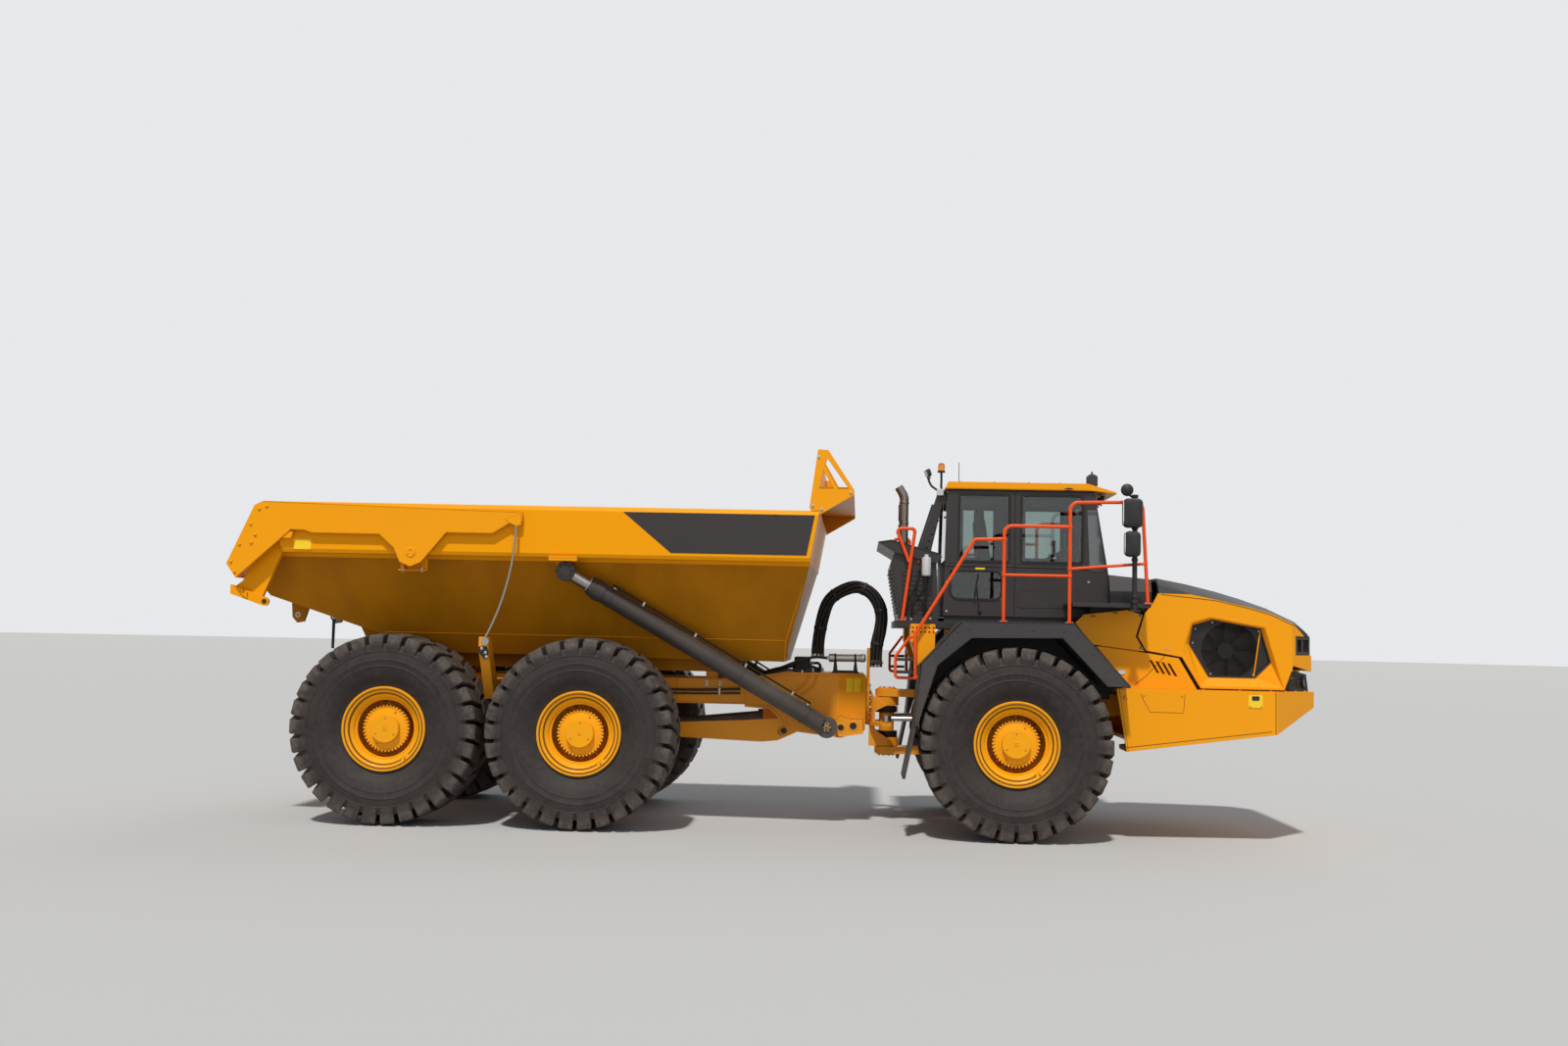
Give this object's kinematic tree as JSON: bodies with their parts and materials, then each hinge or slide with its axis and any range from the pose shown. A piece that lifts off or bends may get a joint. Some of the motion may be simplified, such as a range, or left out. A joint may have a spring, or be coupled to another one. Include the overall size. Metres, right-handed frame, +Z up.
{
  "type": "articulated dump truck",
  "caption": "Articulated hauler on large lugged tyres: cab and hood in front, a steering and rolling hitch, and a tipping dump body with an overhung tailgate behind.",
  "frame": {"origin": "on the ground under the middle of the whole truck", "axes": "+X forward, +Y to the truck's left, +Z up"},
  "size_m": [12.35, 3.8, 4.296],
  "materials": {
    "yellow_paint": "satin",
    "dark_paint": "satin",
    "charcoal_paint": "satin",
    "orange_paint": "satin",
    "steel": "satin",
    "chrome": "satin",
    "black_plastic": "satin",
    "window_glass": "satin",
    "hose_rubber": "worn",
    "tyre_rubber": "worn"
  },
  "bodies": {
    "tractor": {"front_frame": "yellow_paint", "steer_clevises": "charcoal_paint", "front_axle": "charcoal_paint", "engine": "charcoal_paint", "cooling_pack": "charcoal_paint", "bumper": "yellow_paint", "side_panels": "yellow_paint", "mudguards": "dark_paint", "deck": "dark_paint", "cab_shell": "dark_paint", "cab_glass": "window_glass", "cab_roof": "yellow_paint", "cab_interior": "black_plastic", "handrails": "orange_paint", "exhaust": "steel", "rear_module": "dark_paint", "mirrors": "black_plastic", "lamps": "black_plastic"},
    "hood": {"hood": "yellow_paint", "hood_top": "dark_paint", "hood_grilles": "black_plastic"},
    "cab_door": {"cab_door": "dark_paint", "door_glass": "window_glass"},
    "fan_left": {"fan_left": "black_plastic"},
    "fan_right": {"fan_right": "black_plastic"},
    "hitch": {"hitch_link": "yellow_paint", "hose_arch": "hose_rubber"},
    "steer_barrel_left": {"steer_barrel_left": "charcoal_paint"},
    "steer_barrel_right": {"steer_barrel_right": "charcoal_paint"},
    "steer_rod_left": {"steer_rod_left": "chrome"},
    "steer_rod_right": {"steer_rod_right": "chrome"},
    "trailer": {"rear_frame": "yellow_paint", "hoist_feet": "yellow_paint", "bogie_beams": "yellow_paint", "rear_axles": "yellow_paint", "drive_shafts": "charcoal_paint"},
    "dump_body": {"dump_body": "yellow_paint", "spill_guard": "yellow_paint"},
    "tailgate": {"tailgate": "yellow_paint"},
    "tailgate_ropes": {"tailgate_ropes": "steel"},
    "hoist_barrel_left": {"hoist_barrel_left": "charcoal_paint"},
    "hoist_barrel_right": {"hoist_barrel_right": "charcoal_paint"},
    "hoist_rod_left": {"hoist_rod_left": "chrome"},
    "hoist_rod_right": {"hoist_rod_right": "chrome"},
    "wheel_front_left": {"tyre_front_left": "tyre_rubber", "rim_front_left": "yellow_paint"},
    "wheel_front_right": {"tyre_front_right": "tyre_rubber", "rim_front_right": "yellow_paint"},
    "wheel_mid_left": {"tyre_mid_left": "tyre_rubber", "rim_mid_left": "yellow_paint"},
    "wheel_mid_right": {"tyre_mid_right": "tyre_rubber", "rim_mid_right": "yellow_paint"},
    "wheel_rear_left": {"tyre_rear_left": "tyre_rubber", "rim_rear_left": "yellow_paint"},
    "wheel_rear_right": {"tyre_rear_right": "tyre_rubber", "rim_rear_right": "yellow_paint"}
  },
  "joints": [
    {"name": "steer", "type": "hinge", "parent": "tractor", "child": "hitch", "pos_m": [1.325, 0, 1.25], "axis": [0, 0, 1], "range_deg": [-45, 45]},
    {"name": "roll", "type": "hinge", "parent": "hitch", "child": "trailer", "pos_m": [1.115, 0, 1.44], "axis": [1, 0, 0], "range_deg": [-10, 10]},
    {"name": "tip", "type": "hinge", "parent": "trailer", "child": "dump_body", "pos_m": [-4.775, 0, 1.95], "axis": [0, -1, 0], "range_deg": [0, 70]},
    {"name": "tailgate_lift", "type": "hinge", "parent": "dump_body", "child": "tailgate", "pos_m": [-4.072, 0, 3.049], "axis": [0, -1, 0], "range_deg": [-95.44, 0]},
    {"name": "rope_swing", "type": "hinge", "parent": "trailer", "child": "tailgate_ropes", "pos_m": [-3.185, 0, 2.07], "axis": [0, -1, 0], "range_deg": [0, 71.09]},
    {"name": "hoist_swing_left", "type": "hinge", "parent": "trailer", "child": "hoist_barrel_left", "pos_m": [0.615, 0.7, 1.146], "axis": [0.5419, 0.2446, 0.8041], "range_deg": [0, 6.76]},
    {"name": "hoist_stroke_left", "type": "slide", "parent": "hoist_barrel_left", "child": "hoist_rod_left", "axis": [-0.8366, 0.2479, 0.4885], "range_m": [0, 2.9202]},
    {"name": "steer_swing_left", "type": "hinge", "parent": "tractor", "child": "steer_barrel_left", "pos_m": [2.395, 0.44, 1.25], "axis": [0, 0, 1], "range_deg": [-5, 5]},
    {"name": "steer_stroke_left", "type": "slide", "parent": "steer_barrel_left", "child": "steer_rod_left", "axis": [-0.9984, -0.056, 0], "range_m": [-0.3, 0.3]},
    {"name": "hoist_swing_right", "type": "hinge", "parent": "trailer", "child": "hoist_barrel_right", "pos_m": [0.615, -0.7, 1.146], "axis": [-0.5419, 0.2446, -0.8041], "range_deg": [0, 6.76]},
    {"name": "hoist_stroke_right", "type": "slide", "parent": "hoist_barrel_right", "child": "hoist_rod_right", "axis": [-0.8366, -0.2479, 0.4885], "range_m": [0, 2.9202]},
    {"name": "steer_swing_right", "type": "hinge", "parent": "tractor", "child": "steer_barrel_right", "pos_m": [2.395, -0.44, 1.25], "axis": [0, 0, 1], "range_deg": [-5, 5]},
    {"name": "steer_stroke_right", "type": "slide", "parent": "steer_barrel_right", "child": "steer_rod_right", "axis": [-0.9984, 0.056, 0], "range_m": [-0.3, 0.3]},
    {"name": "wheel_spin_front_left", "type": "hinge", "parent": "tractor", "child": "wheel_front_left", "pos_m": [2.725, 1.465, 1.07], "axis": [0, 1, 0], "continuous": true},
    {"name": "wheel_spin_front_right", "type": "hinge", "parent": "tractor", "child": "wheel_front_right", "pos_m": [2.725, -1.465, 1.07], "axis": [0, 1, 0], "continuous": true},
    {"name": "wheel_spin_mid_left", "type": "hinge", "parent": "trailer", "child": "wheel_mid_left", "pos_m": [-2.115, 1.465, 1.07], "axis": [0, 1, 0], "continuous": true},
    {"name": "wheel_spin_mid_right", "type": "hinge", "parent": "trailer", "child": "wheel_mid_right", "pos_m": [-2.115, -1.465, 1.07], "axis": [0, 1, 0], "continuous": true},
    {"name": "wheel_spin_rear_left", "type": "hinge", "parent": "trailer", "child": "wheel_rear_left", "pos_m": [-4.315, 1.465, 1.07], "axis": [0, 1, 0], "continuous": true},
    {"name": "wheel_spin_rear_right", "type": "hinge", "parent": "trailer", "child": "wheel_rear_right", "pos_m": [-4.315, -1.465, 1.07], "axis": [0, 1, 0], "continuous": true},
    {"name": "hood_tilt", "type": "hinge", "parent": "tractor", "child": "hood", "pos_m": [6.13, 0, 1.93], "axis": [0, 1, 0], "range_deg": [0, 60]},
    {"name": "door_swing", "type": "hinge", "parent": "tractor", "child": "cab_door", "pos_m": [2.786, 0.893, 3.2], "axis": [0, 0, 1], "range_deg": [0, 65]},
    {"name": "fan_spin_left", "type": "hinge", "parent": "tractor", "child": "fan_left", "pos_m": [5.175, 0.95, 2.145], "axis": [0, 1, 0], "continuous": true},
    {"name": "fan_spin_right", "type": "hinge", "parent": "tractor", "child": "fan_right", "pos_m": [5.175, -0.95, 2.145], "axis": [0, 1, 0], "continuous": true}
  ],
  "couplings": [
    {"joint": "tailgate_lift", "follows": "tip", "ratio": -1.3633},
    {"joint": "rope_swing", "follows": "tip", "ratio": 1.0153},
    {"joint": "hoist_swing_left", "follows": "tip", "ratio": 0.096411},
    {"joint": "hoist_stroke_left", "follows": "tip", "m_per_rad": 2.3901},
    {"joint": "steer_swing_left", "follows": "steer", "ratio": -0.053055},
    {"joint": "steer_stroke_left", "follows": "steer", "m_per_rad": 0.33754},
    {"joint": "hoist_swing_right", "follows": "tip", "ratio": 0.096411},
    {"joint": "hoist_stroke_right", "follows": "tip", "m_per_rad": 2.3901},
    {"joint": "steer_swing_right", "follows": "steer", "ratio": -0.053055},
    {"joint": "steer_stroke_right", "follows": "steer", "m_per_rad": -0.33754}
  ]
}
